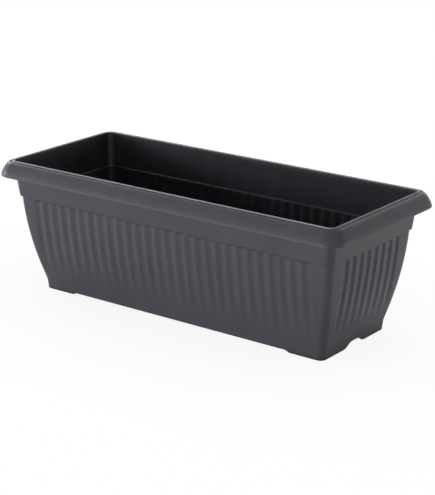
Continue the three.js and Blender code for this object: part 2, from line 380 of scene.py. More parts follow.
@dataclass
class Graph:
    """The nodes of one material or world."""

    tree: bpy.types.NodeTree

    @classmethod
    def emptied(cls, owner: bpy.types.Material | bpy.types.World) -> "Graph":
        """Turns on the nodes of a material or world, and clears them.

        Args:
            owner: the material or world.

        Returns:
            Its graph, with no nodes in it.
        """
        owner.use_nodes = True
        owner.node_tree.nodes.clear()
        return cls(owner.node_tree)

    def node(self, kind: str, settings: dict[str, object] | None = None, **inputs: object) -> bpy.types.Node:
        """Adds a node.

        Args:
            kind: the node's type, without its ShaderNode prefix.
            settings: properties of the node.
            inputs: values or output sockets, by input name, with _ for a space.

        Returns:
            The node.
        """
        made = self.tree.nodes.new("ShaderNode" + kind)
        for key, value in (settings or {}).items():
            setattr(made, key, value)
        for key, value in inputs.items():
            self.put(made, key.replace("_", " "), value)
        return made

    def put(self, node: bpy.types.Node, socket: str | int, value: object) -> None:
        """Sets an input to a value, or links an output to it.

        Args:
            node: the node.
            socket: name or number of its input.
            value: the value, or the output socket.
        """
        if isinstance(value, Socket):
            self.tree.links.new(value, node.inputs[socket])
        else:
            node.inputs[socket].default_value = value

    def calc(self, way: Calc, a: object, b: object = 0.0) -> Socket:
        """Works out one number from two.

        Args:
            way: what is worked out.
            a: first number, or an output socket.
            b: second number, likewise.

        Returns:
            The result.
        """
        made = self.node("Math", {"operation": way.value})
        self.put(made, 0, a)
        self.put(made, 1, b)
        return made.outputs[0]

    def spread(self, value: Socket, source: Span, target: Span = (0.0, 1.0)) -> Socket:
        """Maps a range of a value to another range, and stays inside it.

        Args:
            value: the value.
            source: ends of its range.
            target: what they turn into.

        Returns:
            The mapped value.
        """
        made = self.node("MapRange", Value=value)
        for socket, number in zip(RANGE_ENDS, (*source, *target)):
            self.put(made, socket, number)
        return made.outputs[0]

    def noise(self, place: Socket, scale: float, detail: float) -> Socket:
        """Cloudy values about one half, scale cells to the metre."""
        return self.node("TexNoise", Vector=place, Scale=scale, Detail=detail).outputs["Fac"]

    def mix(self, share: object, first: object, second: object, way: Blend = Blend.COVER) -> Socket:
        """Mixes two colours.

        Args:
            share: share of the second colour, or an output socket.
            first: first colour with its alpha, likewise.
            second: second colour with its alpha, likewise.
            way: how the second meets the first.

        Returns:
            The mixed colour.
        """
        made = self.node("Mix", {"data_type": "RGBA", "blend_type": way.value}, Factor=share)
        self.put(made, MIX_FIRST, first)
        self.put(made, MIX_SECOND, second)
        return made.outputs[MIX_RESULT]

    def mean(self, a: Socket, b: Socket) -> Socket:
        """The mean of two numbers."""
        return self.calc(Calc.TIMES, self.calc(Calc.ADD, a, b), 0.5)

    def show(self, output: Output, share: Socket, hidden: bpy.types.Node, seen: bpy.types.Node) -> None:
        """Mixes two shaders and shows the result.

        Args:
            output: what it shows on.
            share: share of the second shader.
            hidden: the shader where the share is zero.
            seen: the shader where the share is one.
        """
        made = self.node("MixShader")
        self.put(made, 0, share)
        self.put(made, 1, hidden.outputs[0])
        self.put(made, 2, seen.outputs[0])
        self.node(output.value, Surface=made.outputs[0])

    def height(self) -> Socket:
        """Height of a place on the object, in metres."""
        return self.node("SeparateXYZ", Vector=self.node("TexCoord").outputs["Object"]).outputs["Z"]


@dataclass(frozen=True)
class MouldedPlastic:
    """A satin plastic with the fine grain of a spark-eroded mould, as it comes from the press.

    Scales are in cells to the metre and depths and reaches in metres. A range gives the two values of a
    pattern between which its effect goes from none to full. The crest is the pair of heights, in
    millimetres, between which the colour is painted pale as a highlight.
    """

    name: str
    colour: Colour
    roughness: float
    specular: float = 0.35
    cloud_scale: float = 7.0
    cloud_detail: float = 3.0
    cloud_share: float = 0.10
    flow_range: Span = (0.35, 0.65)
    streak_scale: float = 40.0
    streak_detail: float = 4.0
    streak_length: float = 6.0
    gloss_range: Span = (0.3, 0.7)
    gloss_swing: float = 0.03
    grain_scale: float = 1500.0
    grain_detail: float = 3.0
    grain_depth: float = 0.00003
    ripple_scale: float = 55.0
    ripple_detail: float = 2.0
    ripple_depth: float = 0.00012
    bump_strength: float = 0.5
    scuff_scale: float = 220.0
    scuff_detail: float = 6.0
    scuff_range: Span = (0.55, 0.75)
    scuff_gloss: float = 0.08
    # Painted highlight: convex edges, found by pointiness, are lightened towards a paler colour.
    edge_highlight_range: Span = (0.53, 0.62)
    edge_highlight_lift: float = 0.35
    edge_highlight_gain: float = 1.9
    edge_highlight_base: float = 0.01
    # Painted shade: the colour darkens in tight recesses, by ambient occlusion within this reach.
    painted_shade_reach: float = 0.006
    painted_shade_range: Span = (0.45, 0.93)
    painted_shade_darkest: float = 0.15
    # Painted highlight on the bead: above these heights the colour goes pale.
    crest: Span | None = None
    crest_highlight_colour: Colour = (0.63, 0.63, 0.65)
    crest_highlight_patch_range: Span = (0.35, 0.6)
    crest_highlight_thinnest: float = 0.75

    def material(self) -> bpy.types.Material:
        """Makes the material.

        Returns:
            A material with colour clouds, painted highlights on edges and crest, painted shade in recesses,
            grain, ripple and uneven gloss.
        """
        made = bpy.data.materials.new(self.name)
        graph = Graph.emptied(made)
        place = graph.node("TexCoord").outputs["Object"]
        shader = graph.node("BsdfPrincipled", Specular_IOR_Level=self.specular)
        clouds = graph.noise(place, self.cloud_scale, self.cloud_detail)
        stretched = graph.node("Mapping", Vector=place, Scale=(1.0, 1.0, 1.0 / self.streak_length))
        streaks = graph.noise(stretched.outputs["Vector"], self.streak_scale, self.streak_detail)
        scuffs = graph.noise(place, self.scuff_scale, self.scuff_detail)
        graph.put(shader, "Base Color", self._tint(graph, clouds, streaks))
        glossy, dull = self.roughness - self.gloss_swing, self.roughness + self.gloss_swing
        uneven = graph.spread(streaks, self.gloss_range, (glossy, dull))
        rubbed = graph.spread(scuffs, self.scuff_range, (0.0, self.scuff_gloss))
        graph.put(shader, "Roughness", graph.calc(Calc.TAKE, uneven, rubbed))
        graph.put(shader, "Normal", self._relief(graph, place))
        graph.node(Output.SURFACE.value, Surface=shader.outputs["BSDF"])
        return made

    def _tint(self, graph: Graph, clouds: Socket, streaks: Socket) -> Socket:
        """Varies the colour with the flow of the plastic, paints highlights on its edges and crest, and
        paints shade into its recesses.

        Args:
            graph: the material's nodes.
            clouds: slow pattern of the flow.
            streaks: quicker pattern, drawn out upwards.

        Returns:
            The colour of the surface.
        """
        dark = [c * (1 - self.cloud_share) for c in self.colour]
        light = [c * (1 + self.cloud_share) for c in self.colour]
        # The paler colour of the painted highlight on convex edges.
        pale = [min(1.0, c * self.edge_highlight_gain + self.edge_highlight_base) for c in self.colour]
        flow = graph.spread(graph.mean(clouds, streaks), self.flow_range)
        body = graph.mix(flow, (*dark, 1.0), (*light, 1.0))
        # Painted highlight: the sharper a convex edge, the more it goes towards the paler colour.
        edge = graph.spread(graph.node("NewGeometry").outputs["Pointiness"], self.edge_highlight_range)
        edge_lit = graph.mix(graph.calc(Calc.TIMES, edge, self.edge_highlight_lift), body, (*pale, 1.0))
        # Painted shade in tight recesses.
        with_painted_shade = self._paint_shade_in_recesses(graph, edge_lit)
        return self._paint_crest_highlight(graph, with_painted_shade, clouds) if self.crest else with_painted_shade

    def _paint_shade_in_recesses(self, graph: Graph, colour: Socket) -> Socket:
        """Paints shade into the colour, darkening it in tight recesses by how closed in they are.

        Args:
            graph: the material's nodes.
            colour: the colour so far.

        Returns:
            The colour with painted shade in its recesses.
        """
        openness = graph.node("AmbientOcclusion", Distance=self.painted_shade_reach).outputs["AO"]
        shade = graph.spread(openness, self.painted_shade_range, (self.painted_shade_darkest, 1.0))
        return graph.mix(1.0, colour, shade, Blend.SHADE)

    def _paint_crest_highlight(self, graph: Graph, colour: Socket, clouds: Socket) -> Socket:
        """Paints a highlight: turns the colour pale on all that stands higher than the crest, unevenly along
        its way.

        Args:
            graph: the material's nodes.
            colour: the colour so far.
            clouds: the pattern that makes it uneven.

        Returns:
            The colour with a painted highlight on its crest.
        """
        low, high = self.crest
        raised = graph.spread(graph.height(), (low * MM, high * MM))
        uneven = graph.spread(clouds, self.crest_highlight_patch_range, (self.crest_highlight_thinnest, 1.0))
        return graph.mix(graph.calc(Calc.TIMES, raised, uneven), colour, (*self.crest_highlight_colour, 1.0))

    def _relief(self, graph: Graph, place: Socket) -> Socket:
        """Lays the grain of the mould over the slow ripple of cooled plastic.

        Args:
            graph: the material's nodes.
            place: the place on the object.

        Returns:
            The direction of the surface.
        """
        ripple = graph.node("Bump", Strength=self.bump_strength, Distance=self.ripple_depth)
        graph.put(ripple, "Height", graph.noise(place, self.ripple_scale, self.ripple_detail))
        grain = graph.node("Bump", Strength=self.bump_strength, Distance=self.grain_depth)
        graph.put(grain, "Height", graph.noise(place, self.grain_scale, self.grain_detail))
        graph.put(grain, "Normal", ripple.outputs["Normal"])
        return grain.outputs["Normal"]


def give_material(piece: Piece, material: bpy.types.Material) -> None:
    """Gives a piece its only material."""
    piece.data.materials.clear()
    piece.data.materials.append(material)


# ---- Trough ----

# Place across a flute, in halves of its width, of a station that is clear of every flute.
OFF_FLUTE = 9.0


@dataclass(frozen=True)
class Outline:
    """Stations round the box, where every ring of the skin has a point.

    A station has its side in quarter turns from the front, and is on the corner that ends that side, at an
    angle, or on the straight, at a place along it and across its nearest flute. The order is its place
    round the whole ring.
    """

    quarter: Row
    corner: Row
    angle: Row
    along: Row
    across: Row
    order: Row


@dataclass
class Trough:
    """The window box itself: one moulding with a rolled rim, a collar, fluted walls, a floor and four feet.

    A drop is measured down from the top, an inset in from the rim's edge, and a lead is the short piece of
    a flat on which a section starts or ends.
    """

    # Overall
    rim_length: float = 600.0
    rim_width: float = 260.0
    height: float = 200.0
    wall: float = 2.4
    flange_wall: float = 2.2
    floor_wall: float = 2.4
    ledge_wall: float = 1.9
    weld: float = 1.0

    # Bead, valley and shoulder on top of the rim
    bead_radius: float = 1.3
    bead_lead: float = 0.2
    # Painted highlight on the bead, between these drops from the top.
    crest_highlight_drops: Span = (1.55, 0.9)
    valley_drop: float = 2.3
    valley_width: float = 0.9
    valley_fillet: float = 0.7
    shoulder_inset: float = 12.6
    shoulder_drop: float = 1.7
    shoulder_reach: float = 3.6
    shoulder_fall: float = 0.2
    shoulder_lead: float = 0.4
    shoulder_fillet: float = 2.0

    # Rolled flange
    lip_lean: float = 1.1
    lip_rise: float = 6.9
    flange_drop: float = 22.0
    flange_root_rise: float = 0.6
    flange_root_fillet: float = 1.6
    rim_corner: float = 28.0

    # Collar, the step under it and the ledge inside
    step_drop: float = 54.0
    step_lead: float = 1.6
    step_root_fillet: float = 0.7
    step_edge_fillet: float = 0.6
    collar_inset: float = 23.7
    collar_draft: float = 0.11
    collar_corner: float = 11.0
    ledge_fillet: float = 1.2
    ledge_edge: float = 0.5
    ledge_lead: float = 1.5

    # Body and flutes
    body_top_inset: float = 26.4
    body_foot_inset: float = 49.6
    body_bow: float = 3.9
    body_corner: float = 10.0
    body_top_lead: float = 0.9
    long_flute_pitch: float = 17.55
    end_flute_pitch: float = 18.1
    flute_width: float = 13.0
    flute_depth: float = 1.8
    flute_softness: float = 0.16
    flute_top_drop: float = 2.2
    flute_crown_rise: float = 2.0
    flute_end_run: float = 1.2
    flute_full_height: float = 110.0
    flute_foot_height: float = 27.0
    run_out_power: float = 1.5

    # Floor, skirt and feet
    floor_height: float = 14.5
    floor_fillet: float = 6.0
    floor_lead: float = 0.8
    underside_lead: float = 6.0
    underside_fillet: float = 1.2
    skirt_fillet: float = 7.0
    sole_inner_fillet: float = 0.5
    sole_outer_fillet: float = 0.6
    foot_inset: float = 51.0
    foot_corner: float = 9.0
    foot_leg: float = 52.0
    long_arch_height: float = 2.9
    long_arch_run: float = 10.0
    end_arch_height: float = 7.5
    end_arch_run: float = 22.0
    end_arch_flat: float = 10.0
    arch_pull: float = 0.5

    # Ribs and drains under the floor
    rib_thickness: float = 2.0
    rib_drop: float = 4.0
    rib_edge: float = 0.5
    rib_edge_sag: float = 0.3
    drain_columns: int = 4
    drain_rows: int = 2
    dish_radius: float = 16.0
    dish_floor_radius: float = 12.5
    dish_depth: float = 5.0
    dish_fillet: float = 1.6
    dish_underside_fillet: float = 1.5
    drain_hole_radius: float = 6.3
    drain_flare: float = 0.5
    plug_gap: float = 0.3

    # How finely it is drawn
    corner_steps: int = 16
    roll_steps: int = 14
    bead_steps: int = 12
    lip_steps: int = 8
    ledge_edge_steps: int = 4
    floor_fillet_steps: int = 8
    arch_steps: int = 32
    drain_steps: int = 56
    side_spacing: float = 2.9
    plain_spacing: float = 20.0
    foot_margin: float = 1.5
    rim_margin: float = 2.0
    rim_support: float = 0.3
    outer_marks: tuple[float, ...] = (0.0, 1.2, 2.4, 3.5, 4.5, 5.3, 5.9, 6.3, 6.6, 6.95, 7.5)
    inner_marks: tuple[float, ...] = (0.0, 1.8, 3.4, 4.8, 5.8, 6.5, 7.1)
    outer_run_out_rows: int = 12
    outer_upper_shares: tuple[float, ...] = (0.3, 0.6, 0.8, 0.93, 1.0)
    flute_end_shares: tuple[float, ...] = (0.12, 0.26, 0.42, 0.58, 0.74, 0.88, 1.0)
    inner_upper_rows: int = 4
    inner_run_out_height: float = 100.0
    inner_run_out_rows: int = 9
    crease: float = 38.0

    @property
    def step_height(self) -> float:
        """Height of the step under the collar."""
        return self.height - self.step_drop

    @property
    def ledge_height(self) -> float:
        """Height of the ledge inside, over the step."""
        return self.step_height + self.ledge_wall

    @property
    def floor_underside(self) -> float:
        """Height of the floor's underside."""
        return self.floor_height - self.floor_wall

    @property
    def dish_floor_height(self) -> float:
        """Height of the bottom of a drain dish."""
        return self.floor_height - self.dish_depth

    @property
    def dish_underside(self) -> float:
        """Height of the underside of a drain dish."""
        return self.dish_floor_height - self.floor_wall

    @property
    def plug_seat(self) -> float:
        """Height of the underside of a plug's head."""
        return self.dish_floor_height + self.plug_gap

    @property
    def crest_highlight_levels(self) -> Span:
        """Heights between which the bead gets a painted highlight."""
        return self.height - self.crest_highlight_drops[0], self.height - self.crest_highlight_drops[1]

    # -- Stations and rings --

    def _depths(self, side: Side) -> Span:
        """Half the depth of the box behind a side, and behind the next one."""
        depths = (self.rim_width / 2, self.rim_length / 2)
        return depths if side.is_long else depths[::-1]

    def _outline(self, marks_of: dict[Side, list[Span]]) -> Outline:
        """Sets out the stations of a ring.

        Args:
            marks_of: for each side, its stations between the corners, as places along it and across a flute.

        Returns:
            The stations, anticlockwise from the corner at the right of the front.
        """
        rows = []
        for side in Side:
            for share in np.linspace(0, 1, self.corner_steps + 1):
                rows.append((side.value, 1, share * QUARTER_TURN, 0.0, OFF_FLUTE, 2 * side.value + share))
            half_length = self._depths(side.after)[1]
            for along, across in marks_of[side.after]:
                order = 2 * side.value + 1 + (along / half_length + 1) / 2
                rows.append((side.after.value, 0, 0.0, along, across, order))
        table = np.array(rows)
        return Outline(table[:, 0].astype(int), table[:, 1] > 0, *table[:, 2:].T)

    def _even_outline(self, spacing: float, flat_inset: float) -> Outline:
        """Stations at an even spacing on the straight of each side.

        Args:
            spacing: distance between stations.
            flat_inset: how far the straight stops short of the rim at each end.

        Returns:
            The stations.
        """
        marks = {}
        for side in Side:
            reach = self._depths(side)[1] - flat_inset
            count = max(2, int(round(2 * reach / spacing)))
            marks[side] = [(along, OFF_FLUTE) for along in np.linspace(-reach, reach, count + 1)]
        return self._outline(marks)

    def _fluted_outline(self, marks: tuple[float, ...]) -> Outline:
        """Stations across each flute and on the ridges between them.

        Args:
            marks: distances from the middle of a flute.

        Returns:
            The stations.
        """
        found = {}
        half_width = self.flute_width / 2
        both_ways = sorted({*marks, *(-mark for mark in marks)})
        for side in Side:
            count, pitch = self._flutes(side)
            limit = self._depths(side)[1] - self.body_inset(self.flute_foot_height) - self.body_corner
            rows = []
            for flute in range(count):
                centre = (flute - (count - 1) / 2) * pitch
                within = [mark for mark in both_ways if abs(centre + mark) < limit]
                rows += [(centre + mark, mark / half_width) for mark in within]
            found[side] = rows
        return self._outline(found)

    def _flutes(self, side: Side) -> tuple[int, float]:
        """Counts the flutes on a side.

        Args:
            side: the side.

        Returns:
            How many fit on it, and the distance between them.
        """
        pitch = self.long_flute_pitch if side.is_long else self.end_flute_pitch
        flat = 2 * (self._depths(side)[1] - self.body_inset(self.flute_foot_height) - self.body_corner)
        return int((flat - self.flute_width) // pitch) + 1, pitch

    def ring(self, outline: Outline, inset: Number, plan: Number, z: Number) -> Row:
        """One closed ring of points round the box.

        Args:
            outline: its stations.
            inset: distance in from the rim's edge, for all stations or for each.
            plan: radius of the corners in plan.
            z: height.

        Returns:
            One row of x, y and z for each station.
        """
        size = len(outline.order)
        inset, plan, z = (np.broadcast_to(value, size) for value in (inset, plan, z))
        long_side = outline.quarter % 2 == 0
        depth = np.where(long_side, self.rim_width, self.rim_length) / 2
        next_depth = np.where(long_side, self.rim_length, self.rim_width) / 2
        turn_out = plan * (np.cos(outline.angle) - 1)
        turn_along = plan * (np.sin(outline.angle) - 1)
        out = depth - inset + np.where(outline.corner, turn_out, 0.0)
        along = np.where(outline.corner, next_depth - inset + turn_along, outline.along)
        turn = outline.quarter * QUARTER_TURN
        x = np.sin(turn) * out + np.cos(turn) * along
        y = -np.cos(turn) * out + np.sin(turn) * along
        return np.column_stack([x, y, z])

    # -- The wall's section --

    def collar_inset_at(self, z: Number) -> Number:
        """Inset of the collar's outer face at a height."""
        return self.collar_inset - self.collar_draft * (z - self.step_height)

    def body_inset(self, z: Number) -> Number:
        """Inset of the body's outer face between the flutes, which bows out most halfway down.

        Args:
            z: height.

        Returns:
            The inset.
        """
        down = (self.step_height - z) / (self.step_height - self.floor_height)
        straight = self.body_top_inset + (self.body_foot_inset - self.body_top_inset) * down
        return straight - 4 * self.body_bow * down * (1 - down)

    def foot_inset_at(self, z: Number) -> Number:
        """Inset of the skirt's outer face at a height."""
        return self.foot_inset + (self.body_foot_inset - self.foot_inset) * z / self.floor_height

    def flute_depth_at(self, z: Number) -> Number:
        """Depth of a flute along its middle at a height."""
        down = np.clip((self.flute_full_height - z) / (self.flute_full_height - self.flute_foot_height), 0, 1)
        return self.flute_depth * (1 - down ** self.run_out_power)

    def flute_share(self, across: Row) -> Row:
        """Share of a flute's depth at a place across it, with softly rounded ridges.

        Args:
            across: places across the flute, in halves of its width.

        Returns:
            The shares, which are zero a whole width away from the middle.
        """
        bare = 1 - across ** 2
        softness = self.flute_softness / self.flute_depth
        return (bare + np.sqrt(bare ** 2 + softness ** 2)) / 2 * (np.abs(across) < 2)

    def crown_height(self, across: Row) -> Row:
        """Height of the crown that ends a flute at the top."""
        share = np.clip(1 - across ** 2, 0, 1)
        return self.step_height - self.flute_top_drop - self.flute_crown_rise * (1 - np.sqrt(share))

    def _arch_lift(self, outline: Outline) -> Row:
        """Works out how far the arches between the feet lift each station of the base.

        Args:
            outline: the stations.

        Returns:
            The lifts, which rise from a foot to the arch in a cubic curve.
        """
        shares = np.linspace(0, 1, self.arch_steps + 1)
        pull = 3 * self.arch_pull
        run, rise = pull * shares - pull * shares ** 2 + shares ** 3, ease(shares)
        lift = np.zeros(len(outline.order))
        for side in Side:
            if side.is_long:
                span = self.rim_length / 2 - self.foot_inset - self.foot_leg
                length, arch_height = self.long_arch_run, self.long_arch_height
            else:
                span = self.end_arch_flat / 2 + self.end_arch_run
                length, arch_height = self.end_arch_run, self.end_arch_height
            here = (outline.quarter == side.value) & ~outline.corner
            inwards = (span - np.abs(outline.along[here])) / length
            lift[here] = arch_height * np.interp(inwards, run, rise, left=0.0, right=1.0)
        return lift

    # -- The skin, from the floor's underside over the rim to the floor --

    def _lay_base(self, skin: Shell, outline: Outline) -> None:
        """Lays the floor's underside, the skirt's inside, the soles and the skirt's outside.

        Args:
            skin: the skin so far.
            outline: stations of the rings.
        """
        under, wall, plan = self.floor_underside, self.wall, self.foot_corner
        inside_top = self.foot_inset_at(under) + wall
        lift = self._arch_lift(outline)
        section = rounded([
            Bend(inside_top + self.underside_lead, under, plan - wall),
            Bend(inside_top, under, plan - wall, self.underside_fillet),
            Bend(self.foot_inset + wall, 0, plan - wall, self.sole_inner_fillet),
            Bend(self.foot_inset, 0, plan, self.sole_outer_fillet),
            Bend(self.body_foot_inset, self.floor_height, plan, self.skirt_fillet),
            Bend(self.body_inset(self.flute_foot_height), self.flute_foot_height, self.body_corner),
        ])
        turned_out = False
        for inset, z, corner in section:
            turned_out = turned_out or inset < self.foot_inset + wall / 2
            limit = self.floor_height if turned_out else under
            share = max(0.0, 1 - z / limit)
            lifted = z + lift * share
            lean = self.foot_inset_at(lifted) - self.foot_inset_at(z)
            skin.lay(self.ring(outline, inset + lean, corner, lifted), outline.order)

    def _lay_outer_body(self, skin: Shell, outline: Outline) -> None:
        """Lays the fluted outside, up to the step under the collar.

        Args:
            skin: the skin so far.
            outline: stations of the rings.
        """
        share = self.flute_share(outline.across)
        full = self.flute_full_height
        for z in np.linspace(self.flute_foot_height, full, self.outer_run_out_rows):
            inset = self.body_inset(z) + self.flute_depth_at(z) * share
            skin.lay(self.ring(outline, inset, self.body_corner, z), outline.order)
        crown = self.crown_height(outline.across)
        start = crown - self.flute_end_run
        for step in self.outer_upper_shares:
            z = full + (start - full) * step
            inset = self.body_inset(z) + self.flute_depth * share
            skin.lay(self.ring(outline, inset, self.body_corner, z), outline.order)
        for step in self.flute_end_shares:
            z = start + self.flute_end_run * step
            inset = self.body_inset(z) + self.flute_depth * share * (1 - ease(step))
            skin.lay(self.ring(outline, inset, self.body_corner, z), outline.order)
        z = crown + (self.step_height - self.body_top_lead - crown) / 2
        skin.lay(self.ring(outline, self.body_inset(z), self.body_corner, z), outline.order)

    def _lay_rim(self, skin: Shell, outline: Outline) -> None:
        """Lays the step, the collar, the rolled flange with its lip, the valley, the bead and the ledge.

        Args:
            skin: the skin so far.
            outline: stations of the rings.
        """
        bead_centre = self.height - self.bead_radius
        bead_inset = self.collar_inset_at(bead_centre) + self.wall - self.bead_radius
        rows = self._collar_rows() + self._flange_rows() + self._valley_rows(bead_inset, bead_centre)
        for angle in np.linspace(0, math.pi, self.bead_steps + 1):
            inset = bead_inset - self.bead_radius * math.cos(angle)
            rows.append((inset, bead_centre + self.bead_radius * math.sin(angle), self.rim_corner - inset))
        rows += self._ledge_rows(bead_inset, bead_centre)
        for inset, z, plan in rows:
            skin.lay(self.ring(outline, inset, plan, z), outline.order)

    def _collar_rows(self) -> list[Point]:
        """Draws the outside from the step up the collar to the root of the flange.

        Returns:
            Rows of inset, z and plan radius.
        """
        step, corner = self.step_height, self.collar_corner
        under_step = step - self.step_lead
        collar_top = self.height - self.valley_drop - self.flange_wall
        flange_root = collar_top + self.flange_root_rise
        return list(rounded([
            Bend(self.body_inset(under_step), under_step, self.body_corner),
            Bend(self.body_top_inset, step, self.body_corner, self.step_root_fillet),
            Bend(self.collar_inset, step, corner, self.step_edge_fillet),
            Bend(float(self.collar_inset_at(collar_top)), collar_top, corner, self.flange_root_fillet),
            Bend(self.shoulder_inset, flange_root, self.rim_corner - self.shoulder_inset),
        ])[:-1])

    def _flange_rows(self) -> list[Point]:
        """Draws the flange, from its root underneath round the lip to the shoulder on top.

        Returns:
            Rows of inset, z and plan radius.
        """
        top = self.height
        shoulder = np.array([self.shoulder_inset, top - self.shoulder_drop])
        lip = np.array([0.0, top - self.flange_drop + self.flange_wall / 2])
        level = shoulder - (self.shoulder_reach, self.shoulder_fall)
        steep = lip + (self.lip_lean, self.lip_rise)
        shares = np.linspace(0, 1, self.roll_steps + 1)
        outer, tangents = bezier(shoulder, level, steep, lip, shares)
        under = outer + np.column_stack([-tangents[:, 1], tangents[:, 0]]) * self.flange_wall
        radius = self.flange_wall / 2
        angles = np.linspace(0, math.pi, self.lip_steps + 1)
        round_lip = np.column_stack([radius + radius * np.cos(angles), lip[1] - radius * np.sin(angles)])
        section = np.concatenate([under[:-1], round_lip, outer[-2::-1]])
        return [(inset, z, self.rim_corner - inset) for inset, z in section]

    def _valley_rows(self, bead_inset: float, bead_centre: float) -> list[Point]:
        """Draws the top from the shoulder through the valley to the side of the bead.

        Args:
            bead_inset: inset of the bead's middle.
            bead_centre: height of its middle.

        Returns:
            Rows of inset, z and plan radius.
        """
        bead_side = bead_inset - self.bead_radius
        shoulder = self.height - self.shoulder_drop
        section = rounded([
            Bend(self.shoulder_inset - self.shoulder_lead, shoulder),
            Bend(self.shoulder_inset, shoulder, fillet=self.shoulder_fillet),
            Bend(bead_side - self.valley_width, self.height - self.valley_drop, fillet=self.valley_fillet),
            Bend(bead_side, bead_centre - self.bead_lead),
        ], support=self.rim_support)
        return [(inset, z, self.rim_corner - inset) for inset, z, _ in section[1:]]

    def _ledge_rows(self, bead_inset: float, bead_centre: float) -> list[Point]:
        """Draws the inside from the bead down the collar to the ledge.

        Args:
            bead_inset: inset of the bead's middle.
            bead_centre: height of its middle.

        Returns:
            Rows of inset, z and plan radius.
        """
        ledge, wall = self.ledge_height, self.wall
        ledge_inset = self.collar_inset_at(ledge) + wall
        return list(rounded([
            Bend(bead_inset + self.bead_radius, bead_centre, self.rim_corner - bead_inset - self.bead_radius),
            Bend(ledge_inset, ledge, self.collar_corner - wall, self.ledge_fillet),
            Bend(self.body_inset(ledge) + wall, ledge, self.body_corner - wall),
        ])[1:-1])

    def _lay_inner_body(self, skin: Shell, outline: Outline) -> None:
        """Lays the inside of the fluted wall, down from the ledge.

        Args:
            skin: the skin so far.
            outline: stations of the rings.
        """
        share = self.flute_share(outline.across)
        plan, ledge, edge = self.body_corner - self.wall, self.ledge_height, self.ledge_edge
        for angle in np.linspace(0, QUARTER_TURN, self.ledge_edge_steps + 1):
            back, down = edge * (1 - math.sin(angle)), edge * (1 - math.cos(angle))
            inset = self.body_inset(ledge) + self.wall + self.flute_depth * share
            skin.lay(self.ring(outline, inset - back, plan, ledge - down), outline.order)
        upper = np.linspace(ledge - self.ledge_lead, self.flute_full_height, self.inner_upper_rows)
        lower = np.linspace(self.inner_run_out_height, self.flute_foot_height, self.inner_run_out_rows)
        for z in (*upper, *lower):
            inset = self.body_inset(z) + self.wall + self.flute_depth_at(z) * share
            skin.lay(self.ring(outline, inset, plan, z), outline.order)

    def _lay_floor(self, skin: Shell, outline: Outline) -> None:
        """Lays the round foot of the inner wall and the floor's edge.

        Args:
            skin: the skin so far.
            outline: stations of the rings.
        """
        plan, floor = self.body_corner - self.wall, self.floor_height
        top = floor + self.floor_fillet
        corner = np.array([self.body_inset(floor) + self.wall, floor])
        start = np.array([self.body_inset(top) + self.wall, top])
        end = corner + (self.floor_fillet, 0)
        for share in np.linspace(0, 1, self.floor_fillet_steps + 1):
            inset, z = round_off(start, corner, end, share)
            skin.lay(self.ring(outline, inset, plan, z), outline.order)
        skin.lay(self.ring(outline, end[0] + self.floor_lead, plan, floor), outline.order)

    # -- Drains and ribs --

    def drain_centres(self) -> list[Span]:
        """Sets out the drain holes.

        Returns:
            Their centres, row by row.
        """
        inset = self.body_foot_inset + self.wall
        column = (self.rim_length - 2 * inset) / self.drain_columns
        row = (self.rim_width - 2 * inset) / self.drain_rows
        middle_column, middle_row = (self.drain_columns - 1) / 2, (self.drain_rows - 1) / 2
        return [
            ((i - middle_column) * column, (j - middle_row) * row)
            for j in range(self.drain_rows) for i in range(self.drain_columns)
        ]

    def _add_ribs(self, piece: Piece) -> None:
        """Joins the ribs that stiffen the floor from below.

        Args:
            piece: the moulding.
        """
        top, bottom = self.floor_underside + self.weld, self.floor_underside - self.rib_drop
        half, edge = self.rib_thickness / 2, self.rib_edge
        sag = edge * self.rib_edge_sag
        section = np.array([
            (-half, top), (-half, bottom + edge), (-half + sag, bottom + sag), (-half + edge, bottom),
            (half - edge, bottom), (half - sag, bottom + sag), (half, bottom + edge), (half, top),
        ])
        skirt = self.foot_inset_at(bottom) + self.wall - self.weld
        reach_x, reach_y = self.rim_length / 2 - skirt, self.rim_width / 2 - skirt
        spine = prism("spine", section, Vector((reach_x, 0, 0)), Vector((-reach_x, 0, 0)), Vector((0, 1, 0)))
        cut(piece, spine, Cut.ADD)
        spacing = (self.rim_length - 2 * (self.body_foot_inset + self.wall)) / self.drain_columns
        for gap in range(1, self.drain_columns):
            x = (gap - self.drain_columns / 2) * spacing
            start, end = Vector((x, -reach_y, 0)), Vector((x, reach_y, 0))
            cut(piece, prism("rib", section, start, end, Vector((1, 0, 0))), Cut.ADD)

    def _cut_drains(self, piece: Piece) -> None:
        """Joins the dishes under the floor and cuts their spaces and holes.

        Args:
            piece: the moulding.
        """
        centres = [(x, y, 0.0) for x, y in self.drain_centres()]
        dish_outside = self.dish_radius + self.floor_wall
        bottom_outside = self.dish_floor_radius + self.floor_wall
        weld_height = self.floor_underside + self.weld
        below = rounded([
            Bend(0, self.dish_underside),
            Bend(bottom_outside, self.dish_underside, fillet=self.dish_underside_fillet),
            Bend(dish_outside, self.floor_underside),
            Bend(dish_outside, weld_height),
            Bend(0, weld_height),
        ])[:, :2]
        cut(piece, turned("dishes", below, centres, self.drain_steps), Cut.ADD)
        flare, hole, floor = self.drain_flare, self.drain_hole_radius, self.floor_height
        space = rounded([
            Bend(0, self.dish_underside - self.weld),
            Bend(hole, self.dish_underside - self.weld),
            Bend(hole, self.dish_floor_height - flare),
            Bend(hole + flare, self.dish_floor_height),
            Bend(self.dish_floor_radius, self.dish_floor_height, fillet=self.dish_fillet),
            Bend(self.dish_radius, floor),
            Bend(self.dish_radius + flare, floor + flare / 2),
            Bend(0, floor + flare / 2),
        ])[:, :2]
        cut(piece, turned("drains", space, centres, self.drain_steps), Cut.TAKE)

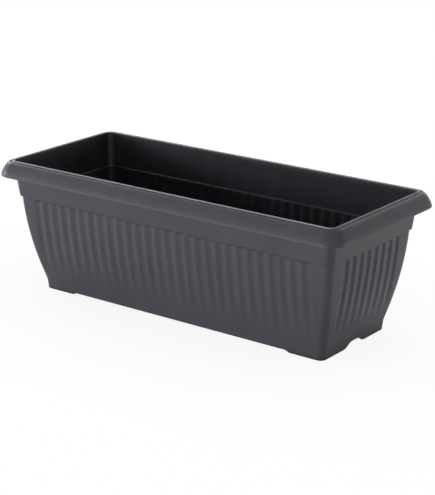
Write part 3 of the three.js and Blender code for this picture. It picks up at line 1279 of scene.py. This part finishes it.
    def build(self) -> Piece:
        """Builds the moulding.

        Returns:
            The trough, in place and without a finish.
        """
        skin = Shell()
        foot_flat = self.body_foot_inset + self.body_corner + self.foot_margin
        rim_flat = self.collar_inset + self.collar_corner + self.rim_margin
        self._lay_base(skin, self._even_outline(self.side_spacing, foot_flat))
        self._lay_outer_body(skin, self._fluted_outline(self.outer_marks))
        self._lay_rim(skin, self._even_outline(self.plain_spacing, rim_flat))
        self._lay_inner_body(skin, self._fluted_outline(self.inner_marks))
        self._lay_floor(skin, self._even_outline(self.plain_spacing, foot_flat))
        skin.close()
        piece = skin.made("trough_moulding")
        self._add_ribs(piece)
        self._cut_drains(piece)
        smooth(piece, self.crease)
        return piece

    def dress(self, piece: Piece, material: bpy.types.Material) -> None:
        """Finishes the moulding and hangs it on its body.

        Args:
            piece: the moulding.
            material: its finish.
        """
        give_material(piece, material)
        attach(piece, "trough")
        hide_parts("trough")


# ---- Drain plugs ----


@dataclass
class DrainPlug:
    """A push-in plug with a pull tab, whose head sits in a drain dish. Heights are over its seat."""

    number: int
    centre: Span
    seat: float
    wall: float = 1.4

    # Hollow shank with a tapered tip
    shank_radius: float = 6.0
    bore_fillet: float = 0.5
    tip: float = -5.7
    tip_inner_fillet: float = 0.2
    tip_outer_fillet: float = 0.3
    taper_length: float = 3.0
    taper: float = 0.6
    taper_fillet: float = 1.0
    neck_fillet: float = 0.25

    # Head
    head_radius: float = 10.5
    head_thickness: float = 1.6
    head_fillet: float = 0.2
    bevel: float = 0.6
    bevel_fillet: float = 0.5

    # Pull tab
    tab_length: float = 13.0
    tab_thickness: float = 2.6
    tab_top: float = 4.4
    tab_root: float = 0.5
    tab_edge: float = 0.5
    tab_draw: float = 1.4
    tab_draw_power: int = 3

    # How finely it is drawn
    steps: int = 48
    fillet_steps: int = 3
    fillet_support: float = 0.2
    tab_steps: int = 32
    tab_edge_steps: int = 4
    crease: float = 35.0

    def build(self) -> Piece:
        """Builds the plug.

        Returns:
            The plug, in place and without a finish.
        """
        inner = self.shank_radius - self.wall
        profile = rounded([
            Bend(0, -self.wall),
            Bend(inner, -self.wall, fillet=self.bore_fillet),
            Bend(inner, self.tip, fillet=self.tip_inner_fillet),
            Bend(self.shank_radius - self.taper, self.tip, fillet=self.tip_outer_fillet),
            Bend(self.shank_radius, self.tip + self.taper_length, fillet=self.taper_fillet),
            Bend(self.shank_radius, 0, fillet=self.neck_fillet),
            Bend(self.head_radius, 0, fillet=self.head_fillet),
            Bend(self.head_radius, self.head_thickness - self.bevel, fillet=self.bevel_fillet),
            Bend(self.head_radius - self.bevel, self.head_thickness, fillet=self.bevel_fillet),
            Bend(0, self.head_thickness),
        ], steps=self.fillet_steps, support=self.fillet_support)[:, :2]
        plug = turned(f"plug_moulding_{self.number}", profile, [(*self.centre, self.seat)], self.steps)
        cut(plug, self._tab(), Cut.ADD)
        smooth(plug, self.crease)
        return plug

    def _tab(self) -> Piece:
        """Draws the upright tab on the head, as rings that close in over its rounded top.

        Returns:
            The tab, with its root sunk in the head.
        """
        tab = Shell()
        half_length, half_width = self.tab_length / 2, self.tab_thickness / 2
        low, top, edge = self.head_thickness - self.tab_root, self.tab_top, self.tab_edge
        levels = [(low, 0.0)]
        for angle in np.linspace(0, QUARTER_TURN, self.tab_edge_steps + 1):
            levels.append((top - edge + edge * math.sin(angle), edge * (1 - math.cos(angle))))
        angles = np.linspace(0, FULL_TURN, self.tab_steps, endpoint=False)
        for z, draw in levels:
            end = half_width - draw
            ease_in = self.tab_draw * max(0.0, (z - low) / (top - low)) ** self.tab_draw_power
            x = np.cos(angles) * end + np.sign(np.cos(angles)) * (half_length - half_width - ease_in)
            y = np.sin(angles) * end
            height = np.full(len(angles), self.seat + z)
            tab.lay(np.column_stack([x + self.centre[0], y + self.centre[1], height]), angles)
        tab.close()
        return tab.made("tab")

    def dress(self, piece: Piece, material: bpy.types.Material) -> None:
        """Finishes the plug and hangs it on its body.

        Args:
            piece: the plug.
            material: its finish.
        """
        give_material(piece, material)
        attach(piece, f"drain_plug_{self.number}")
        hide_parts(f"drain_plug_{self.number}")


# ---- Studio ----


@dataclass(frozen=True)
class Softbox:
    """One flat soft lamp that faces the box, placed by its bearing from it, in degrees and metres."""

    name: str
    azimuth: float
    elevation: float
    brightness: float
    width: float = 1.4
    height: float = 0.19
    distance: float = 3.0

    def hang(self, target: Vector) -> None:
        """Hangs the lamp and aims it.

        Args:
            target: the point it faces.
        """
        light = bpy.data.lights.new(self.name, "AREA")
        light.shape = "RECTANGLE"
        light.size = self.width
        light.size_y = self.height
        light.energy = math.pi * self.width * self.height * self.brightness
        hung = bpy.data.objects.new(self.name, light)
        turn, rise = math.radians(self.azimuth), math.radians(self.elevation)
        bearing = Vector((math.sin(turn) * math.cos(rise), -math.cos(turn) * math.cos(rise), math.sin(rise)))
        hung.location = target + bearing * self.distance
        hung.rotation_euler = (-bearing).to_track_quat("-Z", "Y").to_euler()
        bpy.context.scene.collection.objects.link(hung)


@dataclass
class Studio:
    """A pale floor, a white surround, soft lamps and the camera.

    Places and reaches are in metres, and the lens is in millimetres. To the eye the floor glows white and
    keeps a share of painted shade round the box. Within a half size of the box's middle it doesn't glow: a
    painted shadow under the box, which also keeps light from shining up through an open drain.
    """

    camera_place: Point = (1.31383, -1.72463, 0.79646)
    camera_target: Point = (0.18112, -0.22079, 0.18391)
    lens: float = 115.03
    floor_reach: float = 30.0
    floor_colour: float = 0.6
    floor_glow: float = 0.95
    floor_white: float = 1.045
    # Painted shade in the floor's glow, by ambient occlusion within this reach.
    shade_reach: float = 0.3
    shade_share: float = 0.12
    # Painted shadow under the box: within this half size of its middle the floor doesn't glow.
    painted_shadow_half_size: Span = (0.225, 0.054)
    painted_shadow_edge: float = 0.008
    surround_light: float = 0.0
    surround_white: float = 1.0
    lamp_target: Point = (0.0, 0.0, 0.1)
    lamps: tuple[Softbox, ...] = (
        Softbox("front_softbox", azimuth=358.0, elevation=1.6, brightness=34.6),
        Softbox("front_high_softbox", azimuth=350.0, elevation=12.0, brightness=1.2, width=1.6, height=0.4),
        Softbox("diagonal_softbox", azimuth=322.0, elevation=1.6, brightness=10.0),
        Softbox("left_softbox", azimuth=288.0, elevation=1.6, brightness=6.0, width=1.2),
        Softbox("left_high_softbox", azimuth=292.0, elevation=10.0, brightness=10.0, width=1.2, height=0.4),
        Softbox("right_softbox", azimuth=115.0, elevation=1.6, brightness=16.5),
        Softbox("left_back_softbox", azimuth=250.0, elevation=25.0, brightness=8.0, height=0.7, distance=2.8),
        Softbox("back_softbox", azimuth=185.0, elevation=20.0, brightness=2.2, height=0.7, distance=2.8),
        Softbox("top_softbox", azimuth=0.0, elevation=90.0, brightness=0.5,
                width=1.2, height=1.2, distance=2.6),
    )

    def build(self) -> None:
        """Builds the whole studio."""
        self._add_floor()
        self._light_surround()
        for lamp in self.lamps:
            lamp.hang(Vector(self.lamp_target))
        self._add_camera()

    def _seen(self, graph: Graph) -> Socket:
        """Tells what is looked at from what only gives light.

        Args:
            graph: nodes of the floor or the surround.

        Returns:
            One for what shows straight, in gloss or through glass, and zero for light itself.
        """
        path = graph.node("LightPath").outputs
        seen = graph.calc(Calc.ADD, path["Is Camera Ray"], path["Is Glossy Ray"])
        seen = graph.calc(Calc.ADD, seen, path["Is Transmission Ray"])
        return graph.calc(Calc.LEAST, seen, 1.0)

    def _add_floor(self) -> None:
        """Lays the floor."""
        reach = self.floor_reach
        mesh = bpy.data.meshes.new("floor")
        square = [(-reach, -reach, 0), (reach, -reach, 0), (reach, reach, 0), (-reach, reach, 0)]
        mesh.from_pydata(square, [], [(0, 1, 2, 3)])
        mesh.materials.append(self._floor_material())
        floor = bpy.data.objects.new("floor", mesh)
        bpy.context.scene.collection.objects.link(floor)

    def _floor_material(self) -> bpy.types.Material:
        """Makes a pale floor whose white glow carries painted shade round the box, and is left out under it
        as a painted shadow.

        Returns:
            The floor's material.
        """
        material = bpy.data.materials.new("pale_floor")
        graph = Graph.emptied(material)
        pale = graph.node("BsdfDiffuse", Color=(*[self.floor_colour] * 3, 1.0))
        open_sky = graph.node("AmbientOcclusion", Distance=self.shade_reach).outputs["AO"]
        full_shade = graph.node("LightPath").outputs["Is Glossy Ray"]
        kept = graph.spread(full_shade, (0.0, 1.0), (1.0 - self.shade_share, 0.0))
        lost = graph.calc(Calc.TAKE, 1.0, open_sky)
        shade = graph.calc(Calc.ADD, open_sky, graph.calc(Calc.TIMES, kept, lost))
        open_shade = graph.calc(Calc.TIMES, shade, self._outside_box(graph))
        white = graph.calc(Calc.TIMES, open_shade, self.floor_white)
        glow = graph.node("Emission", Color=WHITE, Strength=white)
        share = graph.calc(Calc.TIMES, self._seen(graph), self.floor_glow)
        graph.show(Output.SURFACE, share, pale, glow)
        return material

    def _outside_box(self, graph: Graph) -> Socket:
        """Tells the open floor from the floor well under the box, where the painted shadow lies.

        Args:
            graph: the floor's nodes.

        Returns:
            Zero well under the box, and one outside.
        """
        place = graph.node("SeparateXYZ", Vector=graph.node("TexCoord").outputs["Object"]).outputs
        past_x, past_y = (
            graph.spread(graph.calc(Calc.SIZE, place[axis]), (half_size, half_size + self.painted_shadow_edge))
            for axis, half_size in zip("XY", self.painted_shadow_half_size)
        )
        return graph.calc(Calc.MOST, past_x, past_y)

    def _light_surround(self) -> None:
        """Makes the surround white to look at, and leaves the light to the lamps."""
        world = bpy.data.worlds.new("surround")
        graph = Graph.emptied(world)
        light = graph.node("Background", Color=WHITE, Strength=self.surround_light)
        white = graph.node("Background", Color=WHITE, Strength=self.surround_white)
        graph.show(Output.SURROUND, self._seen(graph), light, white)
        bpy.context.scene.world = world

    def _add_camera(self) -> None:
        """Sets up the camera."""
        view = bpy.data.cameras.new("camera")
        view.lens = self.lens
        camera = bpy.data.objects.new("camera", view)
        camera.location = self.camera_place
        aim = Vector(self.camera_target) - Vector(self.camera_place)
        camera.rotation_euler = aim.to_track_quat("-Z", "Y").to_euler()
        bpy.context.scene.collection.objects.link(camera)
        bpy.context.scene.camera = camera


def report(piece: Piece) -> None:
    """Reports a finished piece."""
    LOG.info("%s: %d faces", piece.name, len(piece.data.polygons))


def main() -> None:
    """Builds the trough, its plugs and the studio."""
    logging.basicConfig(level=logging.INFO, format="%(message)s")
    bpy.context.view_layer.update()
    bpy.context.scene.view_settings.view_transform = "Standard"

    trough = Trough()
    # The bead of the rim gets a painted highlight.
    anthracite = MouldedPlastic("anthracite_moulding", ANTHRACITE, roughness=0.39, crest=trough.crest_highlight_levels)
    piece = trough.build()
    trough.dress(piece, anthracite.material())
    report(piece)

    # The plugs' finish has the same painted edge highlights and painted shade in recesses.
    rubbery = MouldedPlastic("plug_moulding", PLUG_BLACK, roughness=0.58, cloud_share=0.06).material()
    for number, centre in enumerate(trough.drain_centres(), start=1):
        plug = DrainPlug(number, centre, trough.plug_seat)
        piece = plug.build()
        plug.dress(piece, rubbery)
        report(piece)

    Studio().build()


if __name__ == "__main__":
    main()
